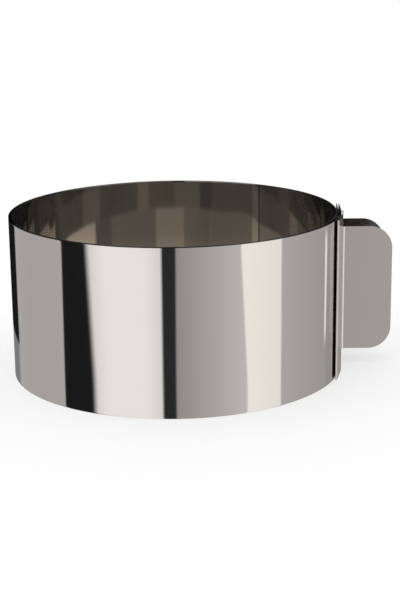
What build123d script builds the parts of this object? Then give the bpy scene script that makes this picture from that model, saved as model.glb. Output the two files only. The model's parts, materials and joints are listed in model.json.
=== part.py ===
from build123d import *
import math
import os

# Adjustable cake ring: one long steel strip wound into a ring, with a squeeze clamp on its outer end that the
# rest of the strip slides through. Millimetres. The origin is on the ring's axis, on the plane that the ring
# stands on. The clamp is at +X and +Z is up. The strip runs clockwise, seen from above, from its outer end.

# The ring as it stands, and the largest that it can be set to
shown_diameter = 173.0
largest_diameter = 300.0

# Strip
strip_height = 85.0
strip_thickness = 0.4
# at the largest size the inner end still lies this far past the outer end
end_overlap = 31.2
# radial step from one lap to the next, centre to centre
lap_step = 1.7
# length of the outer end that lies in the clamp's hook
pocket_length = 10.8
# the held end stands this much outside the lap, and comes in over the flare's length
flare = 0.5
flare_length = 33.0
# direction of the strip's outer end, seen from the axis
strip_end_angle = -12.6
# the strip bends at the parting lines between short stretches
stretch_count = 40
parting_gap = 0.06

# Clamp plate: a hook round the strip's end, a fold, a flat plate and the front grip, bent from one sheet
plate_thickness = 0.45
# between the strip's end and the hook's outer leg, at the hook's bottom and at its mouth
hook_clearance = 0.1
mouth_clearance = 0.8
# between the sliding lap and whatever stands outside it
slide_clearance = 0.6
hook_leg_length = 6.0
# from the strip's end to the middle of the hook's bend
hook_bottom_depth = 1.2
# the outer leg and the plate are folded flat on each other, with this gap between them
fold_gap = 0.15
# the flat plate leans in towards the fold, as the ring's wall does there
plate_lean = 6.0
plate_corner_radius = 9.0
# straight run into each grip's bend, where the sheet above and below the grip ends
bend_lead = 0.4

# Grips
front_grip_y = -3.0
grip_gap = 20.0
# from the plate to the front grip's tip
grip_length = 26.4
# the rear grip's tip lies this much short of the front one's
rear_tip_setback = 2.0
grip_height = 67.0
grip_corner_radius = 12.0
front_bend_radius = 1.5
rear_bend_radius = 2.5
# where two bends share a short run of sheet, each radius takes this much of it
bend_share = 0.45

# Squeeze lever: a flattened loop that turns on the pin, with the rear grip
lever_thickness = 0.4
loop_length = 20.0
loop_lean = 0.45
loop_mouth = 0.75

# Pin, and the ears of the plate that hold it
pin_y = -5.0
pin_radius = 0.55
pin_clearance = 0.04
pin_setback = 0.6
ear_thickness = 0.6
ear_setback = 3.7
ear_length = 9.5
ear_lip = 0.35
ear_corner_radius = 1.2

# Between the lever and the fixed parts, and under the lever
running_gap = 0.3
# between the lever's roll and what it swings past, the plate and the ends of its ears
roll_gap = 0.4

# Worked out from the sizes above
ring_radius = (shown_diameter + lap_step - strip_thickness) / 2
strip_length = math.pi * largest_diameter + end_overlap
stretch_length = (strip_length - pocket_length) / (stretch_count - 1)
roll_radius = pin_radius + pin_clearance + lever_thickness
rear_grip_y = front_grip_y + grip_gap


def ease(value, low, high):
    """0 below low, 1 above high, and a smooth run between."""
    share = min(max((value - low) / (high - low), 0), 1)
    return share * share * (3 - 2 * share)


def strip_radius(turn):
    """Radius of the strip's centre line where it has turned by an angle from its outer end."""
    along = math.radians(turn) * ring_radius
    held = 1 - ease(along, pocket_length, pocket_length + flare_length)
    return ring_radius + flare * held - lap_step * turn / 360


def strip_point(turn, outset=0):
    """Plan point on the strip's centre line, or beside it by an outset."""
    angle = math.radians(strip_end_angle - turn)
    radius = strip_radius(turn) + outset
    return Vector(radius * math.cos(angle), radius * math.sin(angle))


def turn_after(turn, length):
    """The turn that the strip has reached when it has run on by a length."""
    reached = turn
    for _ in range(3):
        reached = turn + math.degrees(length / strip_radius((turn + reached) / 2))
    return reached


def parting_turns():
    """Turns of the strip's outer end, of each parting line and of its inner end."""
    turns = [0, turn_after(0, pocket_length)]
    for _ in range(stretch_count - 1):
        turns.append(turn_after(turns[-1], stretch_length))
    return turns


def direction_of(vector):
    """Angle of a plan vector, in degrees."""
    return math.degrees(math.atan2(vector.Y, vector.X))


def circle_centre(a, b, c):
    """Centre of the circle through three plan points."""
    ab = b - a
    ac = c - a
    span = 2 * (ab.X * ac.Y - ab.Y * ac.X)
    x = (ac.Y * ab.dot(ab) - ab.Y * ac.dot(ac)) / span
    y = (ab.X * ac.dot(ac) - ac.X * ab.dot(ab)) / span
    return a + Vector(x, y)


def make_stretch(start, end, is_first, is_last):
    """One stretch of the strip: a curved leaf of the full height between two parting lines."""
    centre = circle_centre(strip_point(start), strip_point((start + end) / 2), strip_point(end))
    radius = (strip_point(start) - centre).length
    trim = math.degrees(parting_gap / 2 / radius)
    from_angle = direction_of(strip_point(start) - centre) - (0 if is_first else trim)
    to_angle = direction_of(strip_point(end) - centre) + (0 if is_last else trim)
    sweep = (to_angle - from_angle) % -360
    outer = CenterArc(centre, radius + strip_thickness / 2, from_angle, sweep)
    inner = CenterArc(centre, radius - strip_thickness / 2, from_angle, sweep)
    leaf = make_face([outer, inner, Line(outer @ 0, inner @ 0), Line(outer @ 1, inner @ 1)])
    return extrude(leaf, strip_height, dir=(0, 0, 1))


def bent_sheet(points, radii, thickness, foot, height):
    """A sheet on edge whose centre line runs through the points, with a radius at each bend."""
    outline = trace(FilletPolyline(*points, radius=radii), thickness)
    return Pos(0, 0, foot) * extrude(outline, height, dir=(0, 0, 1))


def lap_face_x(y):
    """Where the sliding lap's outer face crosses a line across the clamp."""
    angle = math.degrees(math.asin(y / ring_radius))
    radius = strip_radius(strip_end_angle - angle + 360) + strip_thickness / 2
    return math.sqrt(radius**2 - y**2)


def pin_x():
    """The pin stands just outside the sliding lap, with room for the lever's roll."""
    return lap_face_x(pin_y) + slide_clearance + roll_radius


def plate_direction():
    """Way along the flat plate, from the fold to the grip."""
    return Vector(0, 1).rotate(Axis.Z, -plate_lean)


def plate_x():
    """Where the plate, which passes just outside the lever's roll, meets the front grip."""
    lean = math.radians(plate_lean)
    offset = roll_radius + roll_gap + plate_thickness / 2
    return pin_x() + offset / math.cos(lean) + (front_grip_y - pin_y) * math.tan(lean)


def plate_end():
    """Where the flat plate ends and the front grip's bend begins."""
    return Vector(plate_x(), front_grip_y) - plate_direction() * (front_bend_radius + bend_lead)


def front_tip_x():
    return plate_x() + grip_length


def grip_window(root_x, tip_x):
    """The space that a grip fills, seen from the front: its two outer corners are rounded."""
    width = tip_x - root_x
    middle = Pos(root_x + width / 2, 0, strip_height / 2)
    window = middle * Rot(X=90) * Rectangle(width, grip_height)
    tips = window.vertices().group_by(Axis.X)[-1]
    rounded = fillet(tips, grip_corner_radius)
    return extrude(rounded, grip_gap, both=True, dir=(0, 1, 0))


def make_hook_and_plate():
    """The sheet from the hook's inner leg, round the strip's end, through the fold and along the plate."""
    inner_outset = strip_thickness / 2 + slide_clearance + plate_thickness / 2
    outer_outset = strip_thickness / 2 + hook_clearance + plate_thickness / 2
    mouth_outset = strip_thickness / 2 + mouth_clearance + plate_thickness / 2
    fold_width = plate_thickness + fold_gap
    bottom_turn = turn_after(0, -hook_bottom_depth)
    leg_turn = turn_after(0, hook_leg_length)
    fold_turn = turn_after(0, pocket_length)
    leg_tip = strip_point(leg_turn + 360, inner_outset)
    inner_corner = strip_point(bottom_turn + 360, inner_outset)
    outer_corner = strip_point(bottom_turn, outer_outset)
    fold_inner = strip_point(fold_turn, mouth_outset)
    along = (outer_corner - fold_inner).normalized()
    fold_outer = fold_inner + Vector(along.Y, -along.X) * fold_width
    flat = plate_direction()
    reach = plate_end() - fold_outer
    run = (reach.X * flat.Y - reach.Y * flat.X) / (along.X * flat.Y - along.Y * flat.X)
    lean_end = fold_outer + along * run
    points = [leg_tip, inner_corner, outer_corner, fold_inner, fold_outer, lean_end, plate_end()]
    hook_width = (outer_corner - inner_corner).length
    hook_radius = bend_share * hook_width
    fold_radius = bend_share * fold_width
    radii = [hook_radius, hook_radius, fold_radius, fold_radius, plate_corner_radius]
    return bent_sheet(points, radii, plate_thickness, 0, strip_height)


def at_pin():
    """The pin's place, turned so that Y runs along the flat plate."""
    return Pos(pin_x(), pin_y) * Rot(Z=-plate_lean)


def make_ear(level):
    """A tab bent in from the plate, with the pin's hole."""
    rim = pin_radius + pin_clearance + ear_lip
    width = rim + roll_radius + roll_gap + plate_thickness / 2
    outline = Pos(width / 2 - rim, rim - ear_length / 2) * Rectangle(width, ear_length)
    corners = outline.vertices().group_by(Axis.X)[0]
    outline = fillet(corners.group_by(Axis.Y)[0], ear_corner_radius)
    outline -= Circle(pin_radius + pin_clearance)
    outline = at_pin() * outline
    return Pos(0, 0, level - ear_thickness / 2) * extrude(outline, ear_thickness, dir=(0, 0, 1))


def ear_levels():
    return [ear_setback, strip_height - ear_setback]


def make_clamp_plate():
    grip_points = [plate_end(), Vector(plate_x(), front_grip_y), Vector(front_tip_x(), front_grip_y)]
    grip = bent_sheet(grip_points, [front_bend_radius], plate_thickness, 0, strip_height)
    plate = make_hook_and_plate() + (grip & grip_window(plate_end().X - plate_thickness, front_tip_x()))
    for level in ear_levels():
        plate += make_ear(level)
    return plate


def make_squeeze_lever():
    """The rear grip, the outer leg of the loop, the roll round the pin and the inner leg."""
    leg_offset = roll_radius - lever_thickness / 2
    heel_x = pin_x() + leg_offset + loop_lean
    foot = running_gap
    height = strip_height - 2 * running_gap
    outer_start = Vector(pin_x() + leg_offset, pin_y)
    heel = Vector(heel_x, rear_grip_y)
    heel_start = Vector(heel_x, rear_grip_y - rear_bend_radius - bend_lead)
    inner_start = Vector(pin_x() - leg_offset, pin_y)
    inner_end = Vector(heel_x - loop_mouth - lever_thickness, pin_y + loop_length)
    legs = trace(Line(outer_start, heel_start), lever_thickness)
    legs += trace(Line(inner_start, inner_end), lever_thickness)
    roll = Pos(pin_x(), pin_y) * Circle(roll_radius)
    section = legs + roll - Pos(pin_x(), pin_y) * Circle(pin_radius + pin_clearance)
    loop = Pos(0, 0, foot) * extrude(section, height, dir=(0, 0, 1))
    tip_x = front_tip_x() - rear_tip_setback
    grip_points = [heel_start, heel, Vector(tip_x, rear_grip_y)]
    grip = bent_sheet(grip_points, [rear_bend_radius], lever_thickness, foot, height)
    lever = loop + (grip & grip_window(heel_x - lever_thickness, tip_x))
    for level in ear_levels():
        lever -= make_ear_notch(level)
    return lever


def make_ear_notch(level):
    """Room in the lever's roll for one ear."""
    width = 4 * roll_radius
    depth = 2 * roll_radius + roll_gap
    rear = pin_radius + pin_clearance + ear_lip + roll_gap
    notch = Box(width, depth, ear_thickness + 2 * running_gap)
    return Pos(0, 0, level) * at_pin() * Pos(0, rear - depth / 2) * notch


def make_pivot_pin():
    length = strip_height - 2 * pin_setback
    return Pos(pin_x(), pin_y, strip_height / 2) * Cylinder(pin_radius, length)


def main():
    os.makedirs("parts", exist_ok=True)
    turns = parting_turns()
    for number in range(stretch_count):
        is_last = number == stretch_count - 1
        stretch = make_stretch(turns[number], turns[number + 1], number == 0, is_last)
        export_step(stretch, f"parts/band_{number + 1:02d}.step")
    export_step(make_clamp_plate(), "parts/clamp_plate.step")
    export_step(make_squeeze_lever(), "parts/squeeze_lever.step")
    export_step(make_pivot_pin(), "parts/pivot_pin.step")
    print("strip's inner end at", round((strip_end_angle - turns[-1]) % 360, 1), "degrees")
    print("pin at", round(pin_x(), 3), pin_y, "plate at", round(plate_x(), 3))


main()
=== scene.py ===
import itertools
import json
import math
from collections import namedtuple

import bmesh
import bpy
from mathutils import Matrix, Vector


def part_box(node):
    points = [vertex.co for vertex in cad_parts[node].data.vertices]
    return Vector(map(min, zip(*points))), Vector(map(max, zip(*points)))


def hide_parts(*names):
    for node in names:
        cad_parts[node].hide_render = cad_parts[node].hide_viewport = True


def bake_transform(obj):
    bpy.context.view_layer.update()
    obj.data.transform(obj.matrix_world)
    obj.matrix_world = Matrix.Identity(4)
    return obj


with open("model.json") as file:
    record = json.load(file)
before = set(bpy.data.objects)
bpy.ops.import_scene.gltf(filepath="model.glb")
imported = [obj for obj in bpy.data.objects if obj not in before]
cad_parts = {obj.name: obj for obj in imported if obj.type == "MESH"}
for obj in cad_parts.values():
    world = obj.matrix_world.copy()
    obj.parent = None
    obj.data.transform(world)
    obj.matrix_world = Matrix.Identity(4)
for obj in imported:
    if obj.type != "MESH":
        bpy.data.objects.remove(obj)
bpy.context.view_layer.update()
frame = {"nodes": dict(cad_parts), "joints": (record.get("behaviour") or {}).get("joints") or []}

# Looks of the adjustable cake ring: a polished spring strip wound 1.8 times round itself, held by a squeeze
# clamp of bent sheet with two finger grips. Sizes are in metres and turns in degrees. The ring's axis is Z,
# the clamp is at +X, and the camera looks along +Y.

bl_info = {
    "name": "Adjustable Cake Ring",
    "version": (1, 0, 0),
    "blender": (4, 5, 0),
    "location": "View3D > Sidebar > Cake Ring",
    "description": "Makes the strip, the clamp and the studio of an adjustable cake ring",
    "category": "Object",
}

MM = 0.001
BAND_JOINTS = [joint for joint in frame["joints"] if joint["child"].startswith("band_")]

# Strip, as the maker rolls it: one lap lies inside the other, and the held end flares out a little
STRIP_THICKNESS = 0.4 * MM
SHOWN_DIAMETER = 173.0 * MM
LAP_STEP = 1.7 * MM
FLARE = 0.5 * MM
FLARE_LENGTH = 33.0 * MM
POCKET_LENGTH = 10.8 * MM
STRIP_END_ANGLE = -12.6
RING_RADIUS = (SHOWN_DIAMETER + LAP_STEP - STRIP_THICKNESS) / 2
STRIP_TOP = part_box("band_02")[1].z

# The free inner end springs outwards against the lap behind it
END_SPRING = 1.1 * MM
END_SPRING_LENGTH = 22.0 * MM

# Mesh of the strip: its rounded cut edges, how far from them a line of points keeps the sides flat, how near
# to that line a point counts as on it, and how far the sides stay inside the solid's
EDGE_RADIUS = 0.12 * MM
EDGE_STEPS = 3
EDGE_SUPPORT = 0.5 * MM
CUT_REACH = 0.001 * MM
SHEET_INSET = 0.005 * MM
LEAST_FACETS = 2
UNROLLED = "unrolled"

# Polish: the tone of the streaks, how much the blur changes from place to place, and how bare the metal is
STREAK_TONE = 0.97
POLISH_CHANGE = 0.12
METALNESS = 0.985

# Patterns in the polish: how often they come to a metre, their levels of detail, and the finer levels'
# strength. Over the range of the marks, the sum of streaks and wiping, the blur goes from least to most.
Pattern = namedtuple("Pattern", "scale detail roughness")
ROLLING_STREAKS = Pattern(1.0, 4.0, 0.6)
WIPING_MARKS = Pattern(55.0, 3.0, 0.55)
SHEET_WAVES = Pattern(28.0, 1.0, 0.4)
MARKS_RANGE = (0.7, 1.3)

# Finishes: how many streaks there are to a metre along each axis, and how deep the sheet's long waves are
Finish = namedtuple("Finish", "streaks dents")
STRIP_FINISH = Finish((14.0, 900.0, 1.0), 0.006 * MM)
CLAMP_FINISH = Finish((30.0, 30.0, 500.0), 0.004 * MM)
PIN_FINISH = Finish((500.0, 500.0, 20.0), 0.001 * MM)

# One column or row of nodes in the node editor
NODE_STEP = 200


class StripSettings(bpy.types.PropertyGroup):
    facet: bpy.props.FloatProperty(
        name="Facet", description="Length of one facet along the strip",
        default=0.5 * MM, min=0.1 * MM, max=5 * MM, subtype="DISTANCE", unit="LENGTH")
    color: bpy.props.FloatVectorProperty(
        name="Steel", description="Colour of the strip's polished steel",
        default=(0.56, 0.549, 0.535), size=3, subtype="COLOR", min=0, max=1)
    roughness: bpy.props.FloatProperty(
        name="Roughness", description="How much the polish blurs what the strip mirrors",
        default=0.045, min=0, max=1, subtype="FACTOR")


class ClampSettings(bpy.types.PropertyGroup):
    color: bpy.props.FloatVectorProperty(
        name="Steel", description="Colour of the clamp's polished sheet",
        default=(0.66, 0.642, 0.628), size=3, subtype="COLOR", min=0, max=1)
    roughness: bpy.props.FloatProperty(
        name="Roughness", description="How much the polish blurs what the clamp mirrors",
        default=0.12, min=0, max=1, subtype="FACTOR")
    pin_color: bpy.props.FloatVectorProperty(
        name="Pin", description="Colour of the drawn wire pin",
        default=(0.62, 0.61, 0.60), size=3, subtype="COLOR", min=0, max=1)
    pin_roughness: bpy.props.FloatProperty(
        name="Pin roughness", description="How much the drawn wire blurs what it mirrors",
        default=0.25, min=0, max=1, subtype="FACTOR")


class StudioSettings(bpy.types.PropertyGroup):
    floor_color: bpy.props.FloatVectorProperty(
        name="Floor", description="Colour of the floor",
        default=(0.50, 0.50, 0.50), size=3, subtype="COLOR", min=0, max=1)
    floor_glow: bpy.props.FloatProperty(
        name="Floor glow", description="Brightness that the camera sees added, so that the floor is white",
        default=0.51, min=0, max=1)
    # Painted shade: a tint on the disc in the ring that darkens and warms what the inner wall mirrors
    painted_inner_shade: bpy.props.FloatVectorProperty(
        name="Inner sheen", description="Share of the studio that the floor in the ring hands to its wall",
        default=(0.338, 0.288, 0.239), size=3, subtype="COLOR", min=0, max=1)
    # Painted light: the disc in the ring glows faintly, though it is no lamp, standing for the dim floor
    # there
    painted_inner_glow: bpy.props.FloatVectorProperty(
        name="Inner glow", description="Colour of the dim floor inside the ring",
        default=(0.071, 0.071, 0.064), size=3, subtype="COLOR", min=0, max=1)
    sky_level: bpy.props.FloatProperty(
        name="Soft light", description="Strength of the even light from all sides",
        default=0.88, min=0, max=2)
    lamp_strength: bpy.props.FloatProperty(
        name="Lamp", description="Strength of the broad light from the upper left",
        default=0.42, min=0, max=10)
    lamp_spread: bpy.props.FloatProperty(
        name="Lamp spread", description="How broad the lamp looks from the ring, which softens the shadow",
        default=math.radians(70), min=0, max=math.pi, subtype="ANGLE", unit="ROTATION")


def smooth_step(value, low, high):
    share = min(max((value - low) / (high - low), 0), 1)
    return share * share * (3 - 2 * share)


def hinge_turns():
    """Turns at which the strip's stretches meet, from the joints of the frame, and of its inner end."""
    turns = []
    for joint in BAND_JOINTS:
        x, y, _ = joint["pos_m"]
        turn = (STRIP_END_ANGLE - math.degrees(math.atan2(y, x))) % 360
        while turns and turn < turns[-1]:
            turn += 360
        turns.append(turn)
    return turns + [2 * turns[-1] - turns[-2]]


def strip_run(turn):
    """Length of the strip that is wound in a turn."""
    return math.radians(turn) * RING_RADIUS


HINGE_TURNS = hinge_turns()
STRIP_LENGTH = strip_run(HINGE_TURNS[-1])


def strip_radius(turn):
    held = 1 - smooth_step(strip_run(turn), POCKET_LENGTH, POCKET_LENGTH + FLARE_LENGTH)
    sprung = smooth_step(strip_run(turn), STRIP_LENGTH - END_SPRING_LENGTH, STRIP_LENGTH)
    return RING_RADIUS + FLARE * held + END_SPRING * sprung - LAP_STEP * turn / 360


def strip_point(turn):
    angle = math.radians(STRIP_END_ANGLE - turn)
    return Vector((strip_radius(turn) * math.cos(angle), strip_radius(turn) * math.sin(angle), 0))


def strip_section(turn):
    """Places the strip's cross-section at a turn: X outwards, Z up, and the strip runs against Y."""
    probe = 0.01
    along = (strip_point(turn + probe) - strip_point(turn - probe)).normalized()
    outwards = Vector((-along.y, along.x, 0))
    return Matrix.Translation(strip_point(turn)) @ Matrix((
        (outwards.x, -along.x, 0, 0),
        (outwards.y, -along.y, 0, 0),
        (0, 0, 1, 0),
        (0, 0, 0, 1)))


def new_piece(name, bm, material):
    mesh = bpy.data.meshes.new(name)
    bm.to_mesh(mesh)
    bm.free()
    piece = bpy.data.objects.new(name, mesh)
    bpy.context.scene.collection.objects.link(piece)
    mesh.materials.append(material)
    return piece


def section_outline(bm, width, foot, top):
    """A sheet's cross-section with broken corners and a further point beside each, as a loop of edges."""
    half = width / 2 - SHEET_INSET
    corners = [(-half, foot), (half, foot), (half, top), (-half, top)]
    bm.faces.new([bm.verts.new((x, 0, z)) for x, z in corners])
    bmesh.ops.bevel(
        bm, geom=bm.verts[:], affect="VERTICES", offset=EDGE_RADIUS, offset_type="OFFSET",
        segments=EDGE_STEPS, profile=0.5, material=-1)
    for level in (foot + EDGE_SUPPORT, top - EDGE_SUPPORT):
        bmesh.ops.bisect_plane(
            bm, geom=bm.verts[:] + bm.edges[:] + bm.faces[:],
            plane_co=(0, 0, level), plane_no=(0, 0, 1), dist=CUT_REACH)
    inside = [edge for edge in bm.edges if len(edge.link_faces) > 1]
    bmesh.ops.delete(bm, geom=bm.faces[:], context="FACES_ONLY")
    bmesh.ops.delete(bm, geom=inside, context="EDGES")
    return bm.edges[:]


def make_strip_piece(name, start, end, material, facet):
    """The strip from one turn to another, as a closed sheet that follows the winding."""
    bm = bmesh.new()
    run_layer = bm.verts.layers.float.new("run")
    outline = section_outline(bm, STRIP_THICKNESS, 0, STRIP_TOP)
    count = max(LEAST_FACETS, math.ceil(strip_run(end - start) / facet))
    bmesh.ops.transform(bm, matrix=strip_section(start), verts=bm.verts[:])
    for vert in bm.verts:
        vert[run_layer] = strip_run(start)
    caps = list(outline)
    for step in range(count):
        before = start + (end - start) * step / count
        after = start + (end - start) * (step + 1) / count
        made = bmesh.ops.extrude_edge_only(bm, edges=outline)
        verts = [item for item in made["geom"] if isinstance(item, bmesh.types.BMVert)]
        moved = set(verts)
        outline = [
            item for item in made["geom"]
            if isinstance(item, bmesh.types.BMEdge) and item.verts[0] in moved and item.verts[1] in moved]
        bmesh.ops.transform(bm, matrix=strip_section(after) @ strip_section(before).inverted(), verts=verts)
        for vert in verts:
            vert[run_layer] = strip_run(after)
    caps += outline
    for edge in caps:
        edge.smooth = False
    for face in bm.faces:
        face.smooth = True
    bmesh.ops.holes_fill(bm, edges=caps)
    bmesh.ops.recalc_face_normals(bm, faces=bm.faces[:])
    unrolled = bm.loops.layers.uv.new(UNROLLED)
    for face in bm.faces:
        for loop in face.loops:
            loop[unrolled].uv = (loop.vert[run_layer], loop.vert.co.z)
    return new_piece(name, bm, material)


def feed(tree, socket, value):
    """Links a socket into another, or gives it a plain value."""
    if isinstance(value, bpy.types.NodeSocket):
        tree.links.new(value, socket)
    else:
        socket.default_value = value


def add_node(tree, kind, place, **values):
    """Adds a node at a column and row of the node editor.

    Each value goes to the input of that name, with spaces for underscores, or else to the node's property.
    """
    node = tree.nodes.new(kind)
    node.location = [NODE_STEP * steps for steps in place]
    for key, value in values.items():
        label = key.replace("_", " ")
        if label in node.inputs:
            feed(tree, node.inputs[label], value)
        else:
            setattr(node, key, value)
    return node


def add_math(tree, place, operation, *values):
    node = add_node(tree, "ShaderNodeMath", place, operation=operation)
    for socket, value in zip(node.inputs, values):
        feed(tree, socket, value)
    return node.outputs[0]


def add_range(tree, place, value, before, after=(0.0, 1.0), soft=True):
    """Maps one range to another, held at both ends, with an eased course where it is soft."""
    node = add_node(
        tree, "ShaderNodeMapRange", place, interpolation_type="SMOOTHSTEP" if soft else "LINEAR",
        Value=value, From_Min=before[0], From_Max=before[1], To_Min=after[0], To_Max=after[1])
    return node.outputs["Result"]


def add_pattern(tree, place, where, pattern):
    node = add_node(
        tree, "ShaderNodeTexNoise", place,
        Vector=where, Scale=pattern.scale, Detail=pattern.detail, Roughness=pattern.roughness)
    return node.outputs["Fac"]


def add_scaled_color(tree, place, color, level):
    node = add_node(tree, "ShaderNodeVectorMath", place, operation="SCALE", Scale=level)
    feed(tree, node.inputs[0], color)
    return node.outputs[0]


def add_color_mix(tree, place, share, first, second):
    node = add_node(tree, "ShaderNodeMix", place, data_type="RGBA")
    for socket, value in zip((node.inputs[0], node.inputs[6], node.inputs[7]), (share, first, second)):
        feed(tree, socket, value)
    return node.outputs[2]


def make_steel(name, color, roughness, finish, unrolled=None):
    """Polished sheet: faint rolling streaks, cloudy wiping marks and a slightly uneven surface.

    The patterns follow the piece's unrolled surface where that is named, and else its own axes.
    """
    material = bpy.data.materials.new(name)
    material.use_nodes = True
    tree = material.node_tree
    tree.nodes.clear()
    if unrolled:
        place = add_node(tree, "ShaderNodeUVMap", (-5, 0), uv_map=unrolled).outputs["UV"]
    else:
        place = add_node(tree, "ShaderNodeTexCoord", (-5, 0)).outputs["Object"]
    drawn = add_node(
        tree, "ShaderNodeMapping", (-4, 2), Vector=place, Scale=finish.streaks).outputs["Vector"]
    grain = add_pattern(tree, (-3, 2), drawn, ROLLING_STREAKS)
    clouds = add_pattern(tree, (-3, 0), place, WIPING_MARKS)
    waves = add_pattern(tree, (-3, -2), place, SHEET_WAVES)
    darker = [channel * STREAK_TONE for channel in color]
    tone = add_color_mix(tree, (1, 1), grain, (*darker, 1), (*color, 1))
    marks = add_math(tree, (-1, 0), "ADD", grain, clouds)
    blur = add_range(
        tree, (0, 0), marks, MARKS_RANGE,
        (roughness * (1 - POLISH_CHANGE), roughness * (1 + POLISH_CHANGE)), soft=False)
    uneven = add_node(tree, "ShaderNodeBump", (1, -2), Strength=1.0, Distance=finish.dents, Height=waves)
    shader = add_node(
        tree, "ShaderNodeBsdfPrincipled", (3, 0),
        Metallic=METALNESS, Base_Color=tone, Roughness=blur, Normal=uneven.outputs["Normal"])
    add_node(tree, "ShaderNodeOutputMaterial", (5, 0), Surface=shader.outputs["BSDF"])
    return material


class CAKERING_OT_strip(bpy.types.Operator):
    """Makes the wound strip, stretch by stretch, and hides the frame's band parts that it stands in for"""

    bl_idname = "cake_ring.strip"
    bl_label = "Strip"

    def execute(self, context):
        settings = context.scene.cake_ring_strip
        steel = make_steel(
            "polished_spring_steel", settings.color, settings.roughness, STRIP_FINISH, UNROLLED)
        middles = [HINGE_TURNS[0] / 2] + [(a + b) / 2 for a, b in zip(HINGE_TURNS, HINGE_TURNS[1:])]
        bodies = ["clamp"] + [joint["child"] for joint in BAND_JOINTS]
        last = len(bodies) - 2
        for index in range(last + 1):
            start = 0 if index == 0 else middles[index]
            end = HINGE_TURNS[-1] if index == last else middles[index + 1]
            piece = make_strip_piece(f"strip_{index + 1:02d}", start, end, steel, settings.facet)
            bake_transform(piece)
            stands_for = [f"band_{index + 1:02d}"] + ([f"band_{index + 2:02d}"] if index == last else [])
            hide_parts(*stands_for)
        return {"FINISHED"}


def dress(node, material):
    for place in frame["nodes"][node].material_slots:
        place.material = material


def clamp_sheet(settings):
    """The clamp's polished sheet, one material for both of its bent pieces."""
    return bpy.data.materials.get("polished_clamp_sheet") or make_steel(
        "polished_clamp_sheet", settings.color, settings.roughness, CLAMP_FINISH)


class CAKERING_OT_clamp_plate(bpy.types.Operator):
    """Gives the clamp plate, with its hook and front grip, the finish of polished sheet"""

    bl_idname = "cake_ring.clamp_plate"
    bl_label = "Clamp Plate"

    def execute(self, context):
        dress("clamp_plate", clamp_sheet(context.scene.cake_ring_clamp))
        return {"FINISHED"}


class CAKERING_OT_squeeze_lever(bpy.types.Operator):
    """Gives the squeeze lever, with its rear grip, the finish of polished sheet"""

    bl_idname = "cake_ring.squeeze_lever"
    bl_label = "Squeeze Lever"

    def execute(self, context):
        dress("squeeze_lever", clamp_sheet(context.scene.cake_ring_clamp))
        return {"FINISHED"}


class CAKERING_OT_pivot_pin(bpy.types.Operator):
    """Gives the pivot pin the dull finish of drawn wire"""

    bl_idname = "cake_ring.pivot_pin"
    bl_label = "Pivot Pin"

    def execute(self, context):
        settings = context.scene.cake_ring_clamp
        dress("pivot_pin", make_steel("drawn_wire", settings.pin_color, settings.pin_roughness, PIN_FINISH))
        return {"FINISHED"}


# Tints of what stands round the ring
WARM = (1.0, 0.957, 0.93)
CREAM = (1.0, 0.98, 0.925)
WHITE = (1.0, 0.97, 0.96)
COOL = (0.97, 1.0, 1.04)

# What stands round the ring in the studio and is mirrored in its steel, from dark flags to lit panels.
# Directions are in degrees as seen from the ring: 0 is the camera's side and 90 is +X. Each edge has two,
# high up and low down, since some stand at a slight lean. Then come the width over which the edges blur, the
# brightness at the left and at the right edge, and the tint. One that isn't as tall as the room has its
# lowest and highest heights too, in degrees. Later ones stand before earlier ones.
Panel = namedtuple("Panel", "name left right soft levels tint heights", defaults=(None,))
OUTSIDE_BACKDROP = (1.51, 1.55, 1.61, 1)
OUTSIDE_PANELS = (
    Panel("rear_wall", (-152, -152), (-75, -75), 1.5, (0.59, 0.69), WARM),
    Panel("rear_screen", (-200, -200), (-144, -144), 12, (0.254, 0.254), COOL),
    Panel("rear_flag", (-241, -97), (-142.5, -142.5), 1.5, (0.008, 0.008), COOL),
    Panel("left_flag", (-81.7, -82.7), (-45, -45), 1.5, (0.008, 0.008), COOL),
    Panel("left_softbox", (-60.4, -56.8), (-4, -4), 6, (1.21, 1.21), WHITE),
    Panel("left_softbox_core", (-53, -51), (-15, -15), 14, (1.42, 1.42), WHITE),
    Panel("grey_wall", (-4, -4), (60, 60), 2, (0.437, 0.973), WARM),
    Panel("lens_gap", (-8.2, -8.5), (1.5, 0.7), 2, (0.028, 0.028), COOL),
    Panel("side_wall", (65, 65), (140, 140), 2, (0.76, 0.48), WARM),
    Panel("right_softbox", (46.1, 50.5), (77.9, 77.6), 2, (1.465, 1.355), CREAM),
    Panel("right_rear_wall", (127, 127), (165, 165), 3, (0.48, 0.32), WARM),
    Panel("right_rear_screen", (163, 163), (190, 190), 2, (0.3, 0.25), COOL),
    Panel("right_rear_flag", (145, 145), (190, 190), 6, (0.028, 0.028), COOL, (-12.7, 0)),
    Panel("clamp_glint", (123.6, 123.2), (126.6, 125.2), 1.2, (1.34, 1.27), WHITE, (-16.8, -12.6)),
)

# The same studio as the inner wall mirrors it through the painted shade of the disc on the ring's floor:
# softer and closer in tone
INSIDE_BACKDROP = (1.02, 0.97, 0.93, 1)
INSIDE_PANELS = (
    Panel("inner_rear_wall", (-154, -154), (-75, -75), 5, (0.5, 0.57), WARM),
    Panel("inner_left_flag", (-86, -86), (-45, -45), 5, (0.28, 0.28), COOL),
    Panel("inner_left_softbox", (-60, -60), (-4, -4), 5, (0.8, 0.95), WARM),
    Panel("inner_left_softbox_foot", (-60, -60), (-10, -10), 5, (1.95, 1.95), CREAM, (-20, -12)),
    Panel("inner_grey_wall", (-5, -5), (60, 60), 5, (0.6, 0.75), WARM),
    Panel("inner_side_wall", (65, 65), (125, 125), 5, (0.62, 0.5), WARM),
    Panel("inner_right_softbox", (52, 52), (76, 76), 5, (1.25, 1.25), CREAM),
    Panel("inner_right_rear_wall", (125, 125), (165, 165), 5, (0.4, 0.6), WARM),
)

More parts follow.
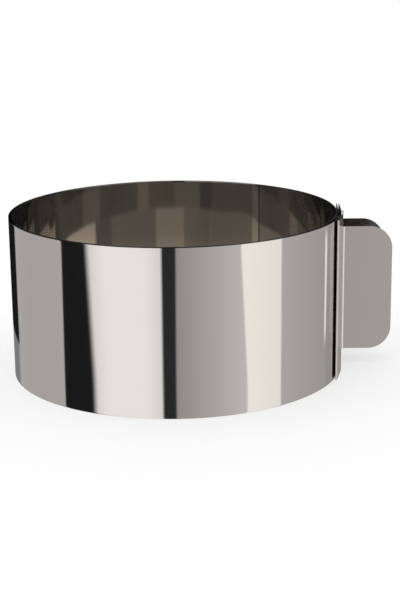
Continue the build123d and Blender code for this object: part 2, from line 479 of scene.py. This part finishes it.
# Heights are in degrees above the ring's own level. A panel's edge has its first direction high up and its
# second low down, and the ends of a low panel blur. The inside grows brighter as the sight drops through the
# foot's heights, and the studio fades into its dim ceiling as it rises through the ceiling's.
HIGH_UP, LOW_DOWN = -13.3, -18.5
PANEL_END_BLUR = 0.8
FOOT_HEIGHTS = (-13.3, -12.6)
FOOT_LEVEL = 1.6
CEILING_HEIGHTS = (2, 8)
CEILING_LEVEL = 0.12

# Floor: how far it reaches each way, and how far it and the disc of painted shade and glow in the ring lie
# below the ring's foot
FLOOR_REACH = 6.0
FLOOR_DROP = 0.05 * MM
FLOOR_ROUGHNESS = 0.9
SHADE_DISC_DROP = 0.02 * MM
SHADE_DISC_SIDES = 96

# Lamp, and the photograph's camera: its focal length and its frame's long side in pixels, and how it stood
LAMP_PLACE = (-0.5, -0.6, 1.8)
FOCAL_PX = 1428.58
LONG_SIDE_PX = 600
SENSOR_WIDTH = 36.0
CAMERA_PLACE = (13.36 * MM, -738.9 * MM, 237.6 * MM)
CAMERA_PITCH = math.radians(15.27)
CAMERA_ROLL = -0.0113
NEAREST_SEEN = 10 * MM


class CAKERING_OT_stage(bpy.types.Operator):
    """Makes the floor, the light, the studio that the steel mirrors, and the camera"""

    bl_idname = "cake_ring.stage"
    bl_label = "Stage"

    def execute(self, context):
        settings = context.scene.cake_ring_studio
        self.make_floor(settings)
        self.make_painted_shade_disc(settings)
        self.make_world(context, settings)
        self.make_lamp(context, settings)
        self.make_camera(context)
        return {"FINISHED"}

    def make_floor(self, settings):
        """The pale floor, which the steel doesn't mirror: it mirrors the studio's panels in its place."""
        bm = bmesh.new()
        bmesh.ops.create_grid(bm, x_segments=4, y_segments=4, size=FLOOR_REACH)
        bmesh.ops.translate(bm, vec=(0, 0, -FLOOR_DROP), verts=bm.verts[:])
        material = bpy.data.materials.new("pale_floor")
        material.use_nodes = True
        tree = material.node_tree
        shader = tree.nodes["Principled BSDF"]
        shader.inputs["Base Color"].default_value = (*settings.floor_color, 1)
        shader.inputs["Roughness"].default_value = FLOOR_ROUGHNESS
        shader.inputs["Specular IOR Level"].default_value = 0.0
        shader.inputs["Emission Color"].default_value = (1, 1, 1, 1)
        seen = add_node(tree, "ShaderNodeLightPath", (-3, -1)).outputs["Is Camera Ray"]
        glow = add_math(tree, (-2, -1), "MULTIPLY", seen, settings.floor_glow)
        feed(tree, shader.inputs["Emission Strength"], glow)
        floor = new_piece("floor", bm, material)
        floor.visible_glossy = False

    def make_painted_shade_disc(self, settings):
        """Painted shade and glow in the ring, seen only in its steel: a disc on the floor that dims what the
        inner wall mirrors and glows faintly, since the ring keeps most of the light out.
        """
        bm = bmesh.new()
        bmesh.ops.create_circle(
            bm, cap_ends=True, segments=SHADE_DISC_SIDES, radius=RING_RADIUS - LAP_STEP / 2)
        bmesh.ops.translate(bm, vec=(0, 0, -SHADE_DISC_DROP), verts=bm.verts[:])
        material = bpy.data.materials.new("painted_shade_and_glow_disc")
        material.use_nodes = True
        tree = material.node_tree
        tree.nodes.clear()
        # painted shade: the tinted see-through disc darkens what the inner wall mirrors
        painted_shade = add_node(tree, "ShaderNodeBsdfTransparent", (-1, 1), Color=(*settings.painted_inner_shade, 1))
        # painted light: the disc glows, though it is no lamp
        glow = add_node(tree, "ShaderNodeEmission", (-1, -1), Color=(*settings.painted_inner_glow, 1), Strength=1.0)
        both = add_node(tree, "ShaderNodeAddShader", (0, 0))
        for socket, part in zip(both.inputs, (painted_shade, glow)):
            feed(tree, socket, part.outputs[0])
        add_node(tree, "ShaderNodeOutputMaterial", (1, 0), Surface=both.outputs[0])
        # painted shade and glow: a disc that only the steel's reflections see
        disc = new_piece("painted_shade_and_glow_disc", bm, material)
        disc.visible_camera = False
        disc.visible_diffuse = False
        disc.visible_shadow = False
        disc.visible_transmission = False

    def make_world(self, context, settings):
        """White to the camera, even light to the floor, and the studio's panels to the mirroring steel."""
        world = bpy.data.worlds.new("studio")
        context.scene.world = world
        world.use_nodes = True
        tree = world.node_tree
        tree.nodes.clear()
        path = add_node(tree, "ShaderNodeLightPath", (-8, 3)).outputs
        soft = add_node(
            tree, "ShaderNodeBackground", (14, -1), Color=(1, 1, 1, 1), Strength=settings.sky_level)
        white = add_node(tree, "ShaderNodeBackground", (15, -1), Color=(1, 1, 1, 1), Strength=1.0)
        mirrored = self.add_studio(tree, path)
        # rays from the steel, apart from those that come there from the floor
        from_surface = add_math(tree, (12, 3), "LESS_THAN", path["Diffuse Depth"], 1.0)
        from_steel = add_math(tree, (13, 3), "MULTIPLY", path["Is Glossy Ray"], from_surface)
        lit = add_node(tree, "ShaderNodeMixShader", (15, 0))
        seen = add_node(tree, "ShaderNodeMixShader", (16, 0))
        for socket, value in zip(lit.inputs, (from_steel, soft.outputs[0], mirrored.outputs[0])):
            feed(tree, socket, value)
        for socket, value in zip(seen.inputs, (path["Is Camera Ray"], lit.outputs[0], white.outputs[0])):
            feed(tree, socket, value)
        add_node(tree, "ShaderNodeOutputWorld", (17, 0), Surface=seen.outputs[0])

    def add_studio(self, tree, path):
        """The panels, by where a ray from the steel goes and by whether it comes from inside the ring."""
        direction = add_node(tree, "ShaderNodeTexCoord", (-8, 0)).outputs["Generated"]
        x, y, z = add_node(tree, "ShaderNodeSeparateXYZ", (-7, 0), Vector=direction).outputs
        toward_camera = add_math(tree, (-6, 0), "MULTIPLY", y, -1.0)
        turned = add_math(tree, (-5, 0), "ARCTAN2", x, toward_camera)
        heading = add_math(tree, (-4, 0), "DEGREES", turned)
        raised = add_math(tree, (-5, -1), "ARCSINE", z)
        height = add_math(tree, (-4, -1), "DEGREES", raised)
        lean = add_range(tree, (-3, -1), height, (LOW_DOWN, HIGH_UP), (1.0, 0.0), soft=False)
        sight = (heading, height, lean)
        outer = self.add_panels(tree, 1, OUTSIDE_PANELS, sight, OUTSIDE_BACKDROP)
        inner = self.add_panels(tree, 17, INSIDE_PANELS, sight, INSIDE_BACKDROP)
        foot = add_range(tree, (12, 18), height, FOOT_HEIGHTS, (FOOT_LEVEL, 1.0))
        inner = add_scaled_color(tree, (13, 17), inner, foot)
        # only rays from inside the ring pass through the disc on its floor
        inside = add_math(tree, (-4, 3), "MINIMUM", path["Transparent Depth"], 1.0)
        color = add_color_mix(tree, (13, 1), inside, outer, inner)
        level = add_range(tree, (13, -1), height, CEILING_HEIGHTS, (1.0, CEILING_LEVEL))
        return add_node(tree, "ShaderNodeBackground", (14, 1), Color=color, Strength=level)

    def add_panels(self, tree, row, panels, sight, color):
        """Puts the panels before a backdrop, one after another, and returns the colour of all."""
        for column, panel in enumerate(panels, start=-2):
            color = self.add_panel(tree, column, row, panel, sight, color)
        return color

    def add_panel(self, tree, column, row, panel, sight, behind):
        """Puts a panel before what is behind it, and returns the colour of both. Its nodes fill a column."""
        heading, height, lean = sight
        spots = ((column, row + step) for step in itertools.count())
        left, right = (
            add_math(tree, next(spots), "MULTIPLY_ADD", lean, low_down - high_up, high_up)
            for high_up, low_down in (panel.left, panel.right))
        edges = [(heading, left, panel.soft), (right, heading, panel.soft)]
        if panel.heights:
            low, high = panel.heights
            edges += [(height, low, PANEL_END_BLUR), (high, height, PANEL_END_BLUR)]
        mask = 1.0
        for further, nearer, blur in edges:
            past = add_math(tree, next(spots), "SUBTRACT", further, nearer)
            share = add_range(tree, next(spots), past, (-blur / 2, blur / 2))
            mask = add_math(tree, next(spots), "MULTIPLY", mask, share)
        ends = (panel.left[0], panel.right[0])
        level = add_range(tree, next(spots), heading, ends, panel.levels, soft=False)
        lit = add_scaled_color(tree, next(spots), panel.tint, level)
        return add_color_mix(tree, next(spots), mask, behind, lit)

    def make_lamp(self, context, settings):
        light = bpy.data.lights.new("softbox_upper_left", "SUN")
        light.energy = settings.lamp_strength
        light.angle = settings.lamp_spread
        lamp = bpy.data.objects.new("softbox_upper_left", light)
        context.scene.collection.objects.link(lamp)
        lamp.location = LAMP_PLACE
        lamp.rotation_euler = (-lamp.location).to_track_quat("-Z", "Y").to_euler()
        lamp.visible_glossy = False

    def make_camera(self, context):
        camera_data = bpy.data.cameras.new("camera")
        camera_data.sensor_width = SENSOR_WIDTH
        camera_data.lens = FOCAL_PX * SENSOR_WIDTH / LONG_SIDE_PX
        camera_data.clip_start = NEAREST_SEEN
        camera = bpy.data.objects.new("camera", camera_data)
        context.scene.collection.objects.link(camera)
        camera.matrix_world = (
            Matrix.Translation(CAMERA_PLACE)
            @ Matrix.Rotation(math.pi / 2 - CAMERA_PITCH, 4, "X")
            @ Matrix.Rotation(CAMERA_ROLL, 4, "Z"))
        context.scene.camera = camera
        context.scene.view_settings.view_transform = "Standard"


class CAKERING_PT_panel(bpy.types.Panel):
    bl_label = "Cake Ring"
    bl_idname = "CAKERING_PT_panel"
    bl_space_type = "VIEW_3D"
    bl_region_type = "UI"
    bl_category = "Cake Ring"

    def draw(self, context):
        scene = context.scene
        clamp_operators = (CAKERING_OT_clamp_plate, CAKERING_OT_squeeze_lever, CAKERING_OT_pivot_pin)
        groups = (
            (scene.cake_ring_strip, (CAKERING_OT_strip,)),
            (scene.cake_ring_clamp, clamp_operators),
            (scene.cake_ring_studio, (CAKERING_OT_stage,)),
        )
        for settings, operators in groups:
            box = self.layout.box()
            for name in settings.__annotations__:
                box.prop(settings, name)
            for operator in operators:
                box.operator(operator.bl_idname)


classes = (
    StripSettings, ClampSettings, StudioSettings,
    CAKERING_OT_strip, CAKERING_OT_clamp_plate, CAKERING_OT_squeeze_lever, CAKERING_OT_pivot_pin,
    CAKERING_OT_stage, CAKERING_PT_panel)


def register():
    for cls in classes:
        bpy.utils.register_class(cls)
    bpy.types.Scene.cake_ring_strip = bpy.props.PointerProperty(type=StripSettings)
    bpy.types.Scene.cake_ring_clamp = bpy.props.PointerProperty(type=ClampSettings)
    bpy.types.Scene.cake_ring_studio = bpy.props.PointerProperty(type=StudioSettings)


def unregister():
    del bpy.types.Scene.cake_ring_strip
    del bpy.types.Scene.cake_ring_clamp
    del bpy.types.Scene.cake_ring_studio
    for cls in reversed(classes):
        bpy.utils.unregister_class(cls)


def main():
    register()
    bpy.ops.cake_ring.strip()
    bpy.ops.cake_ring.clamp_plate()
    bpy.ops.cake_ring.squeeze_lever()
    bpy.ops.cake_ring.pivot_pin()
    bpy.ops.cake_ring.stage()


if __name__ == "__main__":
    main()
